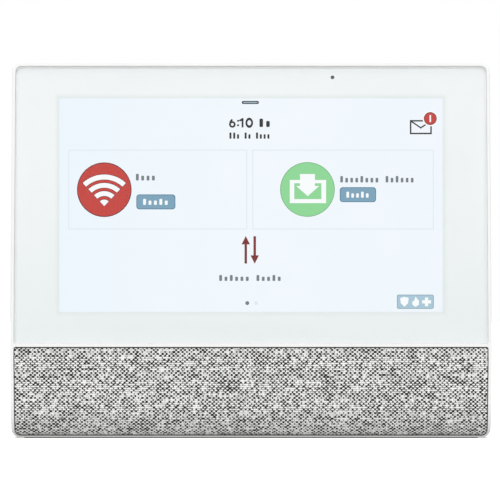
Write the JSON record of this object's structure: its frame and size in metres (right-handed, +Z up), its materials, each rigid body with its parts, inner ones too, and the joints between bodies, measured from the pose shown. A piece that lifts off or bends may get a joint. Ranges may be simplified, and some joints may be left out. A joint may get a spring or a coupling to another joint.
{
  "type": "smart display",
  "caption": "Flat tabletop or wall touchscreen with a white rim, a fabric-covered speaker panel below the glass and a swing-out plate on its back.",
  "frame": {"origin": "on the floor under the middle of the body, halfway between the rim's front and the rubber pads on the back", "axes": "+X across the screen to the viewer's right, +Y from the glass to the wall, +Z up"},
  "size_m": [0.1936, 0.0304, 0.1515],
  "materials": {
    "white_shell": "fine matt texture",
    "cover_glass": "polished",
    "border_print": "smooth ink behind glass",
    "black_tape": "matt foam tape",
    "screen": "lit picture",
    "light_guide": "smooth acrylic",
    "sheet_steel": "rolled sheet",
    "ribbon": "polyimide film",
    "brass": "turned",
    "circuit_board": "solder mask",
    "screw_steel": "zinc plated",
    "heat_sink": "anodised",
    "black_parts": "moulded",
    "ivory_parts": "moulded",
    "terminal_green": "moulded",
    "copper_film": "etched film",
    "lead_sleeve": "sleeving",
    "battery_wrap": "shrink wrap over metal cells",
    "lens": "coated",
    "soft_black": "soft",
    "grille_cloth": "heathered weave",
    "speaker_frame": "painted",
    "cone_paper": "pressed pulp",
    "magnet": "nickel plated",
    "button_white": "moulded"
  },
  "bodies": {
    "case": {"front_bezel": "white_shell", "foot_strip": "soft_black", "cover_glass": "cover_glass", "glass_border_print": "border_print", "glass_adhesive": "black_tape", "lcd_panel": "screen", "light_guide": "light_guide", "backlight_tray": "sheet_steel", "display_flex": "ribbon", "display_bracket": "sheet_steel", "board_standoffs": "brass", "main_board": "circuit_board", "board_screws": "screw_steel", "shield_cans": "sheet_steel", "heat_spreader": "heat_sink", "board_chips": "black_parts", "board_connectors": "ivory_parts", "terminal_block": "terminal_green", "terminal_screws": "screw_steel", "radio_module": "circuit_board", "left_antenna": "copper_film", "right_antenna": "copper_film", "antenna_leads": "lead_sleeve", "battery_pack": "battery_wrap", "battery_holder": "black_parts", "battery_lead": "lead_sleeve", "battery_cover": "white_shell", "battery_cover_screw": "screw_steel", "camera_module": "black_parts", "camera_lens": "lens", "camera_flex": "ribbon", "microphone_board": "circuit_board", "microphones": "brass", "microphone_boots": "soft_black", "speaker_grille": "black_parts", "grille_fabric": "grille_cloth", "speaker_baffle": "black_parts", "left_speaker_frame": "speaker_frame", "right_speaker_frame": "speaker_frame", "left_speaker_cone": "cone_paper", "right_speaker_cone": "cone_paper", "left_speaker_magnet": "magnet", "right_speaker_magnet": "magnet", "speaker_surrounds": "soft_black", "speaker_gaskets": "soft_black", "left_speaker_box": "black_parts", "right_speaker_box": "black_parts", "speaker_leads": "lead_sleeve", "rear_housing": "white_shell", "case_screws": "screw_steel", "hinge_pin": "screw_steel", "friction_washers": "brass", "button_board": "circuit_board", "tamper_switch": "black_parts"},
    "stand": {"stand_plate": "white_shell", "stand_pads": "soft_black"},
    "reset_button": {"reset_button": "button_white"},
    "tamper_plunger": {"tamper_plunger": "button_white"}
  },
  "joints": [
    {"name": "stand_swing", "type": "hinge", "parent": "case", "child": "stand", "pos_m": [0, 0.0093, 0.0055], "axis": [-1, 0, 0], "range_deg": [0, 70]},
    {"name": "reset_press", "type": "slide", "parent": "case", "child": "reset_button", "axis": [0, -1, 0], "range_m": [0, 0.0008], "stiffness_N_per_m": 800, "springref_m": -0.0008},
    {"name": "tamper_press", "type": "slide", "parent": "case", "child": "tamper_plunger", "axis": [0, -1, 0], "range_m": [0, 0.0012], "stiffness_N_per_m": 500, "springref_m": -0.001}
  ]
}
